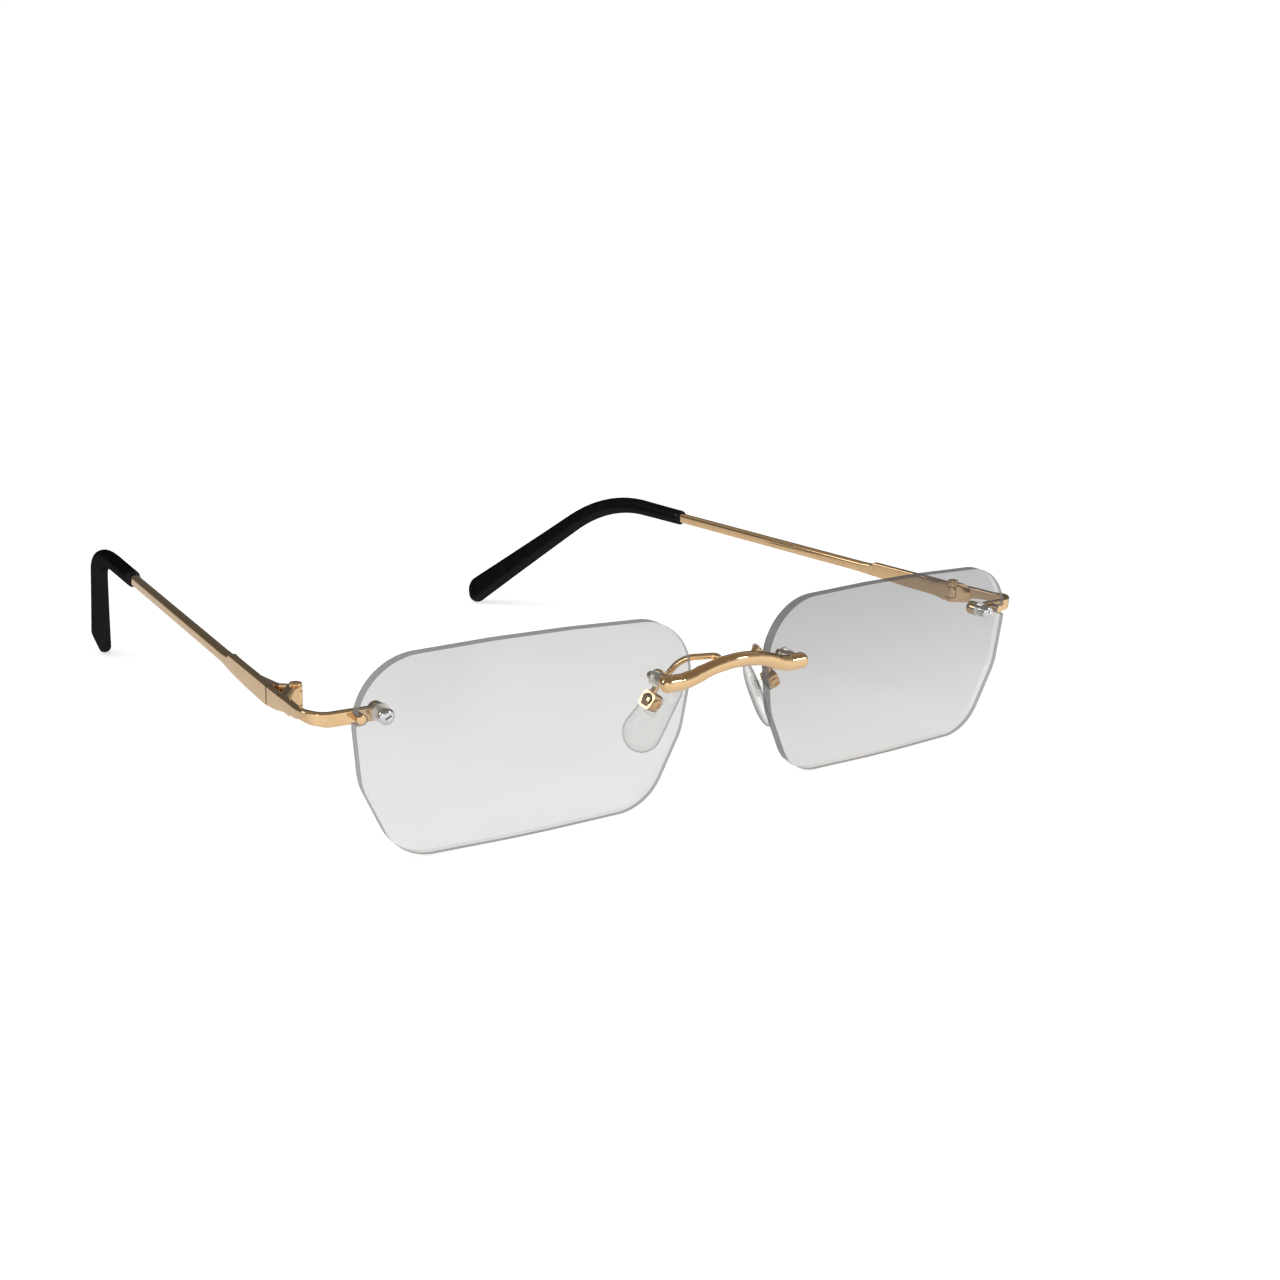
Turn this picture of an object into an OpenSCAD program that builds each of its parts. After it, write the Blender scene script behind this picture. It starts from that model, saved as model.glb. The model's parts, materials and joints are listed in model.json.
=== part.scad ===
// Rimless eyeglasses: two drilled lenses, a front bridge bar, nose pads on wire arms,
// end pieces with barrel hinges, straight metal temples and dark plastic temple tips.
// +Z is up, the front faces -Y and the temples run to +Y. The glasses stand open on the
// lower lens edges and on the ends of the temple tips, with the floor at Z = 0.

/* [Lenses] */
// Width of one lens
lens_w = 54; // [50:0.5:58]
// Distance between the two lens centres
lens_pitch = 69; // [67:0.5:73]
// Thickness of a lens
lens_t = 1.7; // [1.5:0.1:2.2]
// Outward turn of each lens, in degrees
wrap = 1.8; // [0:0.2:4]

/* [Bridge] */
// Radius of the two rounded bridge ends
cap_r = 1.34; // [1.1:0.05:1.4]
// Radius of the arched middle of the bridge
arch_r = 1.18; // [0.85:0.05:1.1]
// Height of the arch above the bridge ends
arch_rise = 2.25; // [1.6:0.05:2.8]

/* [Nose pads] */
// Length of a nose pad
pad_len = 13; // [11:0.5:14]
// Width of a nose pad at its wide lower end
pad_w = 6.4; // [5.6:0.2:8]
// Thickness of a nose pad
pad_t = 2.1; // [1.8:0.1:2.5]
// Turn of a nose pad seen from above, in degrees
pad_splay = 58; // [50:1:64]
// Lean of a nose pad seen from the front, in degrees
pad_lean = 31; // [24:1:34]

/* [Temples] */
// Inward turn of an open temple, in degrees
temple_toe = 4; // [2:0.5:6]
// Downward slope of a temple against the lens axis, in degrees
temple_drop = 1.4; // [0:0.2:3]
// Length from the hinge seam to the start of the plastic tip
bar_len = 74; // [66:0.5:78]
// Height of the thin part of a temple
bar_h = 2.0; // [1.8:0.1:2.3]
// Width of the thin part of a temple
bar_w = 1.55; // [1.4:0.05:1.7]
// Height of a temple at the hinge
plate_h = 3.2; // [2.8:0.1:3.4]

/* [Temple tips] */
// Straight length of a tip before it bends
tip_straight = 13; // [10:0.5:18]
// Bend radius of a tip
tip_bend_r = 39; // [34:0.5:44]
// Bend angle of a tip, in degrees
tip_bend = 36.5; // [32:0.5:40]
// Length of a tip from the bend to its end centre
tip_drop_len = 38; // [36:0.5:42]
// Half height of a tip at its start
tip_start_r = 1.55; // [1.45:0.05:1.8]
// Radius of the rounded end of a tip
tip_end_r = 3.2; // [2.8:0.1:3.6]
// Thickness of a tip
tip_t = 2.6; // [2.4:0.1:3.2]
// Inward roll of the bend, in degrees
tip_roll = 16.3; // [10:0.1:20]

/* [Hidden] */

$fn = 64;
gold = [0.86, 0.66, 0.40];
steel = [0.80, 0.80, 0.82];
smoke = [0.62, 0.64, 0.64, 0.45];
clear = [0.88, 0.90, 0.90, 0.5];
gap = 0.05;
lens_top = 16;
lens_bottom = -14.1;

// How the glasses stand: lean of the lens plane, and where its centre is
stand_lean = 5.656;
stand_y = -79.381;
stand_z = 14.041;

// Holes in a lens, from its centre: sideways (towards the temple) and up
temporal_u = 22.4;
temporal_v = 7.5;
peg_u = 25.8;
nasal_x = 12.4;
nasal_u = nasal_x - lens_pitch / 2;
nasal_v = 6.05;
hole_r = 1.0;
bush_r = 0.95;
stud_r = 0.6;
peg_r = 0.7;

// Bridge
cap_in = 8.9;
cap_y = -lens_surface(nasal_u) - cap_r - 0.15;
arch_push = 0.8;
arch_tilt = atan(arch_push / arch_rise);
arch_true_rise = norm([arch_push, arch_rise]);
arch_big_r = (cap_in * cap_in + arch_true_rise * arch_true_rise) / (2 * arch_true_rise);
arch_angle = asin(cap_in / arch_big_r);

// Hinge axis of the right temple, and the flush seam behind it
hinge_pos = [63.4, 15.3, 6.2];
seam_y = 4.1;
seam_gap = 0.06;
plate_in = 1.7;
plate_out = 2.9;
knuckle_r = 0.95;
pin_r = 0.45;
pin_bore_r = 0.5;
knuckle_mid = 0.6;
mid_knuckle_h = 2.0;
end_knuckle_h = 0.75;

// End piece: flat bar behind the lens, round corner and leg back to the seam
washer_t = 0.3;
bar_front = lens_t + washer_t;
end_bar_t = 1.1;
end_bar_h = 2.0;
corner_r = 3.0;

// Nose pad box of the right pad
box_pos = [11.6, 3.4, 1.6];
box_size = [2.6, 1.9, 2.8];
box_wall = 0.45;
box_floor = 0.3;
box_r = 0.8;
box_splay = 80;
pad_screw_r = 0.35;
pad_off = 2.7;
pad_low = 1.6;
pad_side = -0.6;

// Route of the right pad arm: from the back of the arch to the top of the pad box
arm_r = 0.5;
arm_points = [
    [3.2, -2.3, 8.2], [3.5, -2.0, 8.9], [4.2, -1.4, 9.0], [5.3, 0.1, 8.6], [6.1, 1.05, 8.35],
    [7.0, 1.75, 7.9], [7.9, 2.25, 7.2], [8.7, 2.6, 6.2], [9.5, 3.0, 5.1], [10.5, 3.4, 3.85],
    [11.3, 3.4, 2.7]];

function lens_surface(u) = -u * sin(wrap);
function tip_path_y(s) = s < tip_straight ? s
    : s < tip_straight + tip_arc ? tip_straight + tip_bend_r * sin(tip_turn(s))
    : tip_straight + tip_bend_r * sin(tip_bend) + (s - tip_straight - tip_arc) * cos(tip_bend);
function tip_path_z(s) = s < tip_straight ? 0
    : s < tip_straight + tip_arc ? -tip_bend_r * (1 - cos(tip_turn(s)))
    : -tip_bend_r * (1 - cos(tip_bend)) - (s - tip_straight - tip_arc) * sin(tip_bend);
function tip_turn(s) = min(max((s - tip_straight) / tip_arc, 0), 1) * tip_bend;
tip_steps = 40;
tip_arc = tip_bend_r * tip_bend * PI / 180;
tip_len = tip_straight + tip_arc + tip_drop_len;
function tip_half(s) = tip_start_r + (tip_end_r - tip_start_r) * pow(s / tip_len, 1.6);

// Places a shape drawn in the lens axes (lens plane upright, centre between the lenses)
module stand() {
    translate([0, stand_y, stand_z]) rotate([stand_lean, 0, 0]) children();
}

// Axes of the right lens: X towards the temple, Y back, Z up, from its front centre
module lens_axes() {
    translate([lens_pitch / 2, 0, 0]) rotate([0, 0, wrap]) children();
}

// Axes of the right hinge: Z is the pin, Y runs back along the temple, X points out
module hinge_axes() {
    translate(hinge_pos) rotate([-temple_drop, 0, temple_toe]) children();
}

// Axes of the right pad: Y points to the nose, Z is the pad's length
module pad_axes(splay = pad_splay) {
    translate(box_pos) rotate([7, -pad_lean, 0]) rotate([0, 0, splay]) children();
}

// Axes of the right pad box, turned further than the pad: X is the screw
module box_axes() { pad_axes(box_splay) children(); }

module left() { mirror([1, 0, 0]) children(); }

module both() {
    children();
    left() children();
}

// A tube of radius r along a list of points
module wire(points, r, sides = 12) {
    n = len(points);
    ref = [0.5, 1, 0.3];
    rings = [for (i = [0 : n - 1])
        let (a = points[max(i - 1, 0)], b = points[min(i + 1, n - 1)],
             t = (b - a) / norm(b - a), u0 = cross(t, ref), u = u0 / norm(u0), v = cross(t, u))
        for (k = [0 : sides - 1])
            points[i] + r * cos(360 * k / sides) * u + r * sin(360 * k / sides) * v];
    faces = concat(
        [[for (k = [0 : sides - 1]) k]],
        [for (i = [0 : n - 2], k = [0 : sides - 1])
            let (a = i * sides + k, b = i * sides + (k + 1) % sides)
            each [[a, a + sides, b], [b, a + sides, b + sides]]],
        [[for (k = [sides - 1 : -1 : 0]) (n - 1) * sides + k]]);
    polyhedron(rings, faces);
}

module lens_outline() {
    half = lens_w / 2;
    hull() for (s = [-1, 1]) {
        translate([s * (half - 9.45) - 0.15, lens_top - 9.65]) circle(9.3);
        translate([s * (half - 10.0), 0.4]) circle(9.1);
        translate([s * (half - 11.9), lens_bottom + 8.45]) circle(8.2);
        translate([s * 6, lens_top - 3]) circle(3);
        translate([s * 3, lens_bottom + 3]) circle(3);
    }
}

module lens() {
    color(smoke) stand() lens_axes() difference() {
        translate([0, lens_t, 0]) rotate([90, 0, 0]) linear_extrude(lens_t) difference() {
            lens_outline();
            translate([temporal_u, temporal_v]) circle(hole_r);
            translate([nasal_u, nasal_v]) circle(hole_r);
            hull() for (u = [peg_u, lens_w]) translate([u, temporal_v]) circle(peg_r + gap);
        }
    }
}

// A round bar along +Y of the lens, from y0 to y1
module through(u, v, r, y0, y1) {
    translate([u, y0, v]) rotate([-90, 0, 0]) cylinder(h = y1 - y0, r = r);
}

// Clear bushes that line the four lens holes
module lens_bush(u, v) {
    difference() {
        through(u, v, bush_r, 0, lens_t);
        through(u, v, stud_r + gap, -1, lens_t + 1);
    }
}

module lens_bushes() {
    color(clear) stand() both() lens_axes() {
        lens_bush(temporal_u, temporal_v);
        lens_bush(nasal_u, nasal_v);
    }
}

// A round bar along +Z with a rounded far end
module bullet(length, r) {
    rotate_extrude() polygon(concat([[0, 0], [r, 0]],
        [for (a = [0 : 10 : 90]) [r * cos(a), length + r * sin(a)]]));
}

// Bridge: two bullet ends in front of the lenses joined by an arch, with a stud in each end
module bridge() {
    color(gold) stand() {
        both() {
            translate([cap_in, cap_y, nasal_v]) rotate([0, 90, 0]) bullet(nasal_x + 0.2 - cap_in, cap_r);
            lens_axes() through(nasal_u, nasal_v, stud_r, -cap_r - 0.2, lens_t + 0.9);
        }
        translate([0, cap_y, nasal_v]) rotate([arch_tilt, 0, 0])
            translate([0, 0, arch_true_rise - arch_big_r])
            rotate([90, 90, 0]) rotate([0, 0, 180 - arch_angle])
            rotate_extrude(angle = 2 * arch_angle) translate([arch_big_r, 0]) circle(arch_r);
    }
}

// Clear washers under the nuts, behind the lenses
module bridge_washers() {
    color(clear) stand() both() lens_axes() difference() {
        through(nasal_u, nasal_v, 1.35, lens_t, lens_t + washer_t);
        through(nasal_u, nasal_v, stud_r + gap, 0, lens_t + 1);
    }
}

// Domed nuts on the bridge studs
module cap_nuts() {
    color(steel) stand() both() lens_axes() difference() {
        intersection() {
            through(nasal_u, nasal_v, 0.9, lens_t + washer_t, lens_t + 1.5);
            translate([nasal_u, lens_t + 0.3, nasal_v]) sphere(1.12);
        }
        through(nasal_u, nasal_v, stud_r + 0.02, 0, lens_t + 0.95);
    }
}

module pad_arm() {
    color(gold) stand() wire(arm_points, arm_r);
}

// Round-cornered cup that holds a pad's tab, with a hole through its sides for the screw
module pad_box() {
    half = box_size / 2;
    signs = [[1, 1], [-1, 1], [-1, -1], [1, -1]];
    outline = [for (k = [0 : 3], a = [0 : 22.5 : 90])
        [signs[k][0] * (half[0] - box_r), signs[k][1] * (half[2] - box_r)]
        + box_r * [cos(a + 90 * k), sin(a + 90 * k)]];
    color(gold) stand() box_axes() difference() {
        rotate([90, 0, 0]) linear_extrude(box_size[1], center = true) polygon(outline);
        translate([0, box_floor, 0])
            cube([box_size[0] - 2 * box_wall, box_size[1], box_size[2] - 2 * box_wall], center = true);
        translate([0, -half[1] - 1, 0]) rotate([-90, 0, 0]) cylinder(h = 1.1, r = 0.85);
        rotate([0, 90, 0]) cylinder(h = 5, r = pad_screw_r + 0.01, center = true);
    }
}

// Screws through the pad boxes, with a socket head on the nose side
module pad_screws() {
    head = 0.45;
    color(gold) stand() both() box_axes() difference() {
        union() {
            rotate([0, 90, 0]) cylinder(h = box_size[0], r = pad_screw_r, center = true);
            translate([-box_size[0] / 2 - head, 0, 0]) rotate([0, 90, 0]) cylinder(h = head, r = 0.85);
        }
        translate([-box_size[0] / 2 - head - 0.1, 0, 0]) rotate([0, 90, 0]) cylinder(h = 0.4, r = 0.4);
    }
}

module pad_plate(grow) {
    translate([0, pad_off - 0.3 - grow, -0.5]) rotate([-90, 0, 0])
        linear_extrude(0.6 + 2 * grow) square([2 + 2 * grow, 3.4 + 2 * grow], center = true);
}

// Tab and carrier plate of a pad; the tab rocks on the pad screw and is bent
module pad_insert() {
    color(clear) stand() difference() {
        union() {
            pad_axes() {
                pad_plate(0);
                translate([-1, 1.9, -0.5]) cube([1.4, pad_off - 2, 1]);
            }
            box_axes() {
                rotate([0, 90, 0]) cylinder(h = 1.5, r = 0.58, center = true);
                translate([-0.75, 0, -0.52]) cube([1.5, 2.15, 1.04]);
            }
        }
        box_axes() rotate([0, 90, 0]) cylinder(h = 5, r = pad_screw_r + 0.05, center = true);
    }
}

module pad_outline() {
    hull() {
        translate([0, -pad_len / 2 + pad_w / 2]) circle(pad_w / 2);
        translate([0, pad_len / 2 - pad_w * 0.36]) circle(pad_w * 0.36);
    }
}

module nose_pad() {
    color(clear) stand() pad_axes() difference() {
        translate([pad_side, pad_off - pad_t / 2, -pad_low]) rotate([90, 0, 0])
            translate([0, 0, -pad_t]) linear_extrude(pad_t) pad_outline();
        pad_plate(0.02);
        translate([-1.65, -0.5, -0.56]) cube([2.15, pad_off + 0.42, 1.12]);
    }
}

// Plan of an end piece: the bar behind the lens, a round corner and the leg to the hinge
module end_piece_plan() {
    t = end_bar_t;
    line = bar_front + t / 2;
    mid = (plate_in + plate_out) / 2;
    translate([lens_pitch / 2, 0]) rotate(wrap)
        translate([temporal_u, bar_front]) square([corner_u - temporal_u + 0.02, t]);
    translate(corner) rotate(wrap - 90) intersection() {
        difference() {
            circle(corner_r + t / 2);
            circle(corner_r - t / 2);
        }
        polygon([[0, 0], [9, 0], [9, 9], [9 * cos(90 + temple_toe - wrap), 9]]);
    }
    translate([hinge_pos[0], hinge_pos[1]]) rotate(temple_toe)
        translate([mid - t / 2, leg_start - 0.02]) square([t, seam_y - seam_gap - leg_start + 0.02]);
}

// Where the corner arc meets the straight bar and the leg
bar_back = [-sin(wrap), cos(wrap)];
leg_out = [cos(temple_toe), sin(temple_toe)];
bar_reach = [lens_pitch / 2, 0] * bar_back + bar_front + end_bar_t / 2 + corner_r;
leg_reach = [hinge_pos[0], hinge_pos[1]] * leg_out + (plate_in + plate_out) / 2 - corner_r;
corner = [bar_back[1] * leg_reach - leg_out[1] * bar_reach, leg_out[0] * bar_reach
    - bar_back[0] * leg_reach] / cos(wrap - temple_toe);
corner_u = (corner - [lens_pitch / 2, 0]) * [cos(wrap), sin(wrap)];
leg_start = (corner - [hinge_pos[0], hinge_pos[1]]) * [-sin(temple_toe), cos(temple_toe)];

// Side view of an end piece: it is level behind the lens and deepens towards the seam
module end_piece_side() {
    low = temporal_v - end_bar_h / 2 - 0.23;
    high = temporal_v + end_bar_h / 2 - 0.13;
    end_y = hinge_pos[1] + seam_y + 1;
    polygon([[0, low], [3.4, low + 0.05], [4.2, low + 0.3], [6, low + 0.6], [9, 6.3], [end_y, hinge_pos[2] - plate_h / 2],
        [end_y, hinge_pos[2] + plate_h / 2 - 0.15], [9, 8.0], [5, high + 0.05], [3.4, high], [0, high]]);
}

module end_piece() {
    color(gold) stand() difference() {
        union() {
            intersection() {
                linear_extrude(20) end_piece_plan();
                translate([45, 0, 0]) rotate([90, 0, 90]) linear_extrude(30) end_piece_side();
            }
            lens_axes() {
                through(temporal_u, temporal_v, 1.15, bar_front, bar_front + 1.9);
                through(peg_u, temporal_v, peg_r, 0, bar_front + 0.5);
            }
        }
        lens_axes() through(temporal_u, temporal_v, stud_r + 0.02, 0, 9);
    }
}

module end_piece_washers() {
    color(clear) stand() both() lens_axes() difference() {
        through(temporal_u, temporal_v, 1.35, lens_t, bar_front);
        through(temporal_u, temporal_v, stud_r + gap, 0, 9);
    }
}

// Domed screws in the lens fronts, threaded into the end pieces
module lens_screws() {
    color(steel) stand() both() lens_axes() {
        through(temporal_u, temporal_v, stud_r, -0.2, bar_front + 1.7);
        difference() {
            intersection() {
                translate([temporal_u, 0.75, temporal_v]) sphere(1.55);
                through(temporal_u, temporal_v, 1.2, -1.2, 0);
            }
            translate([temporal_u, -0.75, temporal_v]) rotate([0, 30, 0]) cube([3, 0.3, 0.35], center = true);
        }
    }
}

module knuckle(z0, h) {
    translate([0, 0, z0]) difference() {
        cylinder(h = h, r = knuckle_r);
        translate([0, 0, -1]) cylinder(h = h + 2, r = pin_bore_r);
    }
}

// The two outer knuckles, on a block that is soldered to the inside of the end piece
module front_hinge() {
    z0 = mid_knuckle_h / 2 + gap;
    low = knuckle_mid - z0 - end_knuckle_h;
    high = knuckle_mid + z0 + end_knuckle_h;
    color(gold) stand() hinge_axes() {
        knuckle(knuckle_mid + z0, end_knuckle_h);
        knuckle(low, end_knuckle_h);
        difference() {
            intersection() {
                translate([0, 0, low]) linear_extrude(high - low)
                    polygon([[0.1, knuckle_r - 0.02], [plate_in + 0.3, 0.85], [plate_in + 0.3, -2.8],
                        [-0.4, -knuckle_r + 0.08]]);
                rotate([90, 0, 0]) linear_extrude(8, center = true)
                    polygon([[-2, low], [3, low], [3, 1.2], [1.8, 1.4], [0.9, high - 0.1], [-2, high]]);
            }
            translate([0, 0, low - 1]) cylinder(h = high - low + 2, r = knuckle_r - 0.1);
            translate([0, 0, knuckle_mid - z0]) cylinder(h = 2 * z0, r = knuckle_r + 0.1);
        }
    }
}

// Screws that are the hinge pins
module hinge_screws() {
    top = mid_knuckle_h / 2 + gap + end_knuckle_h;
    color(gold) stand() both() hinge_axes() translate([0, 0, knuckle_mid]) difference() {
        union() {
            translate([0, 0, -top]) cylinder(h = 2 * top, r = pin_r);
            translate([0, 0, top]) cylinder(h = 0.4, r = 0.9);
        }
        translate([0, 0, top + 0.4]) cube([2, 0.2, 0.3], center = true);
    }
}

// The middle knuckle on a tongue that is soldered to the inside of the temple
module temple_hinge() {
    h = mid_knuckle_h;
    low = knuckle_mid - h / 2;
    color(gold) stand() hinge_axes() {
        knuckle(low, h);
        difference() {
            intersection() {
                translate([0, 0, -3]) linear_extrude(8)
                    polygon([[-0.7, 0.2], [-0.5, 1.4], [0.2, 2.8], [0.9, seam_y + 1.4],
                        [plate_in + 0.1, seam_y + 7], [plate_in + 0.3, seam_y + 7],
                        [plate_in + 0.3, seam_y + 0.2], [plate_in - 0.1, seam_y + 0.2],
                        [plate_in - 0.15, 2.4], [0.5, 1.0], [0.7, 0]]);
                rotate([90, 0, 90]) linear_extrude(8, center = true)
                    polygon([[-1, low], [1.25, low], [1.26, -1.3], [seam_y + 8, -1.3],
                        [seam_y + 8, 1.2], [seam_y + 0.5, 1.42], [1.26, low + h + 0.55],
                        [1.25, low + h], [-1, low + h]]);
            }
            translate([0, 0, -5]) cylinder(h = 10, r = knuckle_r - 0.1);
        }
    }
}

// Side view of a temple: a deep plate at the hinge, a small step, then the thin bar
module temple_side() {
    y0 = seam_y + seam_gap;
    step = seam_y + 17;
    polygon([[y0, -plate_h / 2], [y0 + 6, -plate_h / 2 + 0.05], [step + 6, -bar_h / 2],
        [seam_y + bar_len + 1, -bar_h / 2], [seam_y + bar_len + 1, bar_h / 2],
        [step + 0.8, bar_h / 2], [step, plate_h / 2 - 0.15], [y0, plate_h / 2 - 0.1]]);
}

// Plan of a temple: the plate is thin, the bar behind it is thicker
module temple_plan() {
    y0 = seam_y + seam_gap;
    step = seam_y + 17;
    inner = plate_out - bar_w;
    polygon([[plate_out, y0], [plate_out, seam_y + bar_len + 1], [inner, seam_y + bar_len + 1],
        [inner, step + 3], [plate_in, step - 2], [plate_in, y0]]);
}

// The round core that runs inside the tip, and the bore that takes it
module tip_core(r, end) {
    bar_mid = plate_out - bar_w / 2;
    lap = 0.6;
    translate([bar_mid, seam_y + bar_len, 0]) rotate([0, tip_roll, 0]) {
        rotate([-90, 0, 0]) cylinder(h = tip_straight + lap, r = r);
        translate([0, tip_straight, -tip_bend_r]) rotate([90, 0, 90]) rotate([0, 0, 90 - tip_bend])
            rotate_extrude(angle = tip_bend) translate([tip_bend_r, 0]) circle(r - 0.03);
        translate([0, tip_path_y(tip_straight + tip_arc), tip_path_z(tip_straight + tip_arc)])
            rotate([-90 - tip_bend, 0, 0]) translate([0, 0, -lap]) cylinder(h = end + lap, r = r - 0.06);
    }
}

module temple() {
    color(gold) stand() hinge_axes() {
        intersection() {
            translate([0, 0, -5]) linear_extrude(10) temple_plan();
            rotate([90, 0, 90]) linear_extrude(5) temple_side();
        }
        tip_core(0.7, 30);
    }
}

// Side view of a tip: it widens steadily from its mouth to its round end
module tip_side() {
    side = [for (i = [0 : tip_steps]) let (s = tip_len * i / tip_steps, a = tip_turn(s))
        [tip_path_y(s), tip_path_z(s), sin(a), cos(a), tip_half(s)]];
    top = [for (p = side) [p[0] + p[2] * p[4], p[1] + p[3] * p[4]]];
    end = [for (a = [15 : 15 : 165]) [tip_path_y(tip_len), tip_path_z(tip_len)]
        + tip_end_r * [sin(a + tip_bend), cos(a + tip_bend)]];
    low = [for (i = [tip_steps : -1 : 0]) let (p = side[i]) [p[0] - p[2] * p[4], p[1] - p[3] * p[4]]];
    polygon(concat(top, end, low));
}

module temple_tip() {
    bar_mid = plate_out - bar_w / 2;
    color([0.07, 0.07, 0.075]) stand() hinge_axes() difference() {
        translate([bar_mid, seam_y + bar_len, 0]) rotate([0, tip_roll, 0])
            translate([-tip_t / 2, 0, 0]) rotate([90, 0, 90]) linear_extrude(tip_t) tip_side();
        tip_core(0.75, 30.5);
        translate([plate_out - bar_w - gap, seam_y + bar_len - 1, -bar_h / 2 - gap])
            cube([bar_w + 2 * gap, 2 + gap, bar_h + 2 * gap]);
    }
}

left() lens();  // lens_left
lens();  // lens_right
bridge();
lens_bushes();
bridge_washers();
cap_nuts();
left() pad_arm();  // pad_arm_left
pad_arm();  // pad_arm_right
left() pad_box();  // pad_box_left
pad_box();  // pad_box_right
pad_screws();
left() pad_insert();  // pad_insert_left
pad_insert();  // pad_insert_right
left() nose_pad();  // nose_pad_left
nose_pad();  // nose_pad_right
left() end_piece();  // end_piece_left
end_piece();  // end_piece_right
end_piece_washers();
lens_screws();
left() front_hinge();  // front_hinge_left
front_hinge();  // front_hinge_right
hinge_screws();
left() temple_hinge();  // temple_hinge_left
temple_hinge();  // temple_hinge_right
left() temple();  // temple_left
temple();  // temple_right
left() temple_tip();  // temple_tip_left
temple_tip();  // temple_tip_right
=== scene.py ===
"""Rimless eyeglasses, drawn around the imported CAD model.

Shapes are made in millimetres in the axes of the lenses (X to the right, Y back, Z up, from the
point midway between the lens centres). STAND moves them into the row's frame. A piece that comes
in twice is drawn on the right, and its left twin is the mirror image.
"""
import json
import math

import bmesh
import bpy
from mathutils import Matrix, Vector
from mathutils.geometry import tessellate_polygon


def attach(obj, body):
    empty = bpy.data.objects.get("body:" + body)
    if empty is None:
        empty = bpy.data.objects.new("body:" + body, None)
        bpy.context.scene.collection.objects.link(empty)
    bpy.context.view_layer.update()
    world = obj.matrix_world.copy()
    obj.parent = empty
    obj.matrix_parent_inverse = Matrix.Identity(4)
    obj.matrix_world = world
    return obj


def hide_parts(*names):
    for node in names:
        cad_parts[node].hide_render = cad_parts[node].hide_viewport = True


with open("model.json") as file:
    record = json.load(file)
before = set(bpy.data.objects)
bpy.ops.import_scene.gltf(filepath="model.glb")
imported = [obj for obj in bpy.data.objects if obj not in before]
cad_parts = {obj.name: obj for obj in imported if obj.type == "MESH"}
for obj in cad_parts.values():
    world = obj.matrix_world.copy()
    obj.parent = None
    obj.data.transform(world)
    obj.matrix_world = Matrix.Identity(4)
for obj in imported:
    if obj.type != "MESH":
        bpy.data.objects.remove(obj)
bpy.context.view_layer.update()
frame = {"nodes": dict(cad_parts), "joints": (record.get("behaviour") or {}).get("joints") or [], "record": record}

MM = 0.001
SIDES = {"right": 1, "left": -1}
GAP = 0.05

# Lenses; U and V are measured from a lens's centre, sideways to the temple and up
LENS_W = 54.0
LENS_TOP = 16.0
LENS_BOTTOM = -14.1
LENS_T = 1.7
WRAP = math.radians(1.8)
HOLE_R = 1.0
RIM_LINE_W = 0.75
NOTCH_R = 0.75
TEMPORAL_U = 22.4
TEMPORAL_V = 7.5

# Bridge; X is measured from the middle plane, and a ridge is its X and its height
NASAL_X = 12.4
NASAL_V = 6.05
CAP_R = 1.34
CAP_IN = 8.9
CAP_Y = -2.18
CAP_END = NASAL_X + 0.2
ARCH_R = 1.18
ARCH_RISE = 2.25
ARCH_PUSH = 0.8
ARCH_HALF = 7.9
RIDGES = [(6.9, 0.05), (3.0, 0.04)]
RIDGE_W = 0.3

# Studs, nuts and lens screws
STUD_R = 0.6
STUD_LEN = 5.0
WASHER_T = 0.3
LENS_BACK = LENS_T + WASHER_T
NUT_R = 0.9
NUT_END = LENS_T + 1.4
SCREW_HEAD_R = 1.18
SCREW_HEAD_H = 0.78
SCREW_LEN = 3.6
SCREW_SLOT = (0.95, 0.42, 0.7)
SCREW_TURN = math.radians(-28)

# End pieces
END_BAR_T = 1.1
END_BAR_EDGE = 0.28
CORNER_R = 3.0
EYE_R = 1.15
EYE_LEN = 1.9
PEG_U = 25.8
PEG_R = 0.7

# Hinges and temples; Y is measured back from the hinge pin
TOE = math.radians(4.0)
DROP = math.radians(1.4)
SEAM_Y = 4.1
PLATE_IN = 1.7
PLATE_OUT = 2.9
PLATE_H = 3.2
STEP_Y = SEAM_Y + 17
STEP_LEN = 0.8
THIN_Y = STEP_Y + 6
BAR_LEN = 74.0
BAR_W = 1.55
BAR_H = 2.0
KNUCKLE_R = 0.95
BORE_R = 0.5
PIN_R = 0.45
KNUCKLE_MID = 0.6
MID_KNUCKLE_H = 2.0
END_KNUCKLE_H = 0.75

# Temple tips
TIP_STRAIGHT = 13.0
TIP_BEND_R = 39.0
TIP_BEND = math.radians(36.5)
TIP_DROP = 38.0
TIP_ROLL = math.radians(16.3)
TIP_START_R = 1.55
TIP_END_R = 3.2
TIP_T = 2.6

# Nose pads, and the boxes and wire arms that hold them
PAD_LEN = 13.0
PAD_W = 6.4
PAD_T = 2.1
PAD_OFF = 2.7
PAD_LOW = 1.6
PAD_SIDE = -0.6
PAD_SPLAY = math.radians(58)
PAD_LEAN = math.radians(31)
PAD_TIP = math.radians(7)
BOX_SIZE = (2.6, 1.9, 2.8)
BOX_SPLAY = math.radians(80)
BOX_R = 0.8
BOX_FLOOR = 0.3
BOX_WALL = 0.45
PAD_SCREW_R = 0.35
PAD_SCREW_HEAD_R = 0.85
PAD_SCREW_HEAD_H = 0.45
CARRIER_SIZE = (1.9, 0.5, 3.3)
BEND_SIZE = (1.35, 0.7, 0.95)
TAB_SIZE = (1.45, 2.1, 1.0)
HUB_R = 0.57
HUB_HALF = 0.74
ARM_R = 0.5
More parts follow.
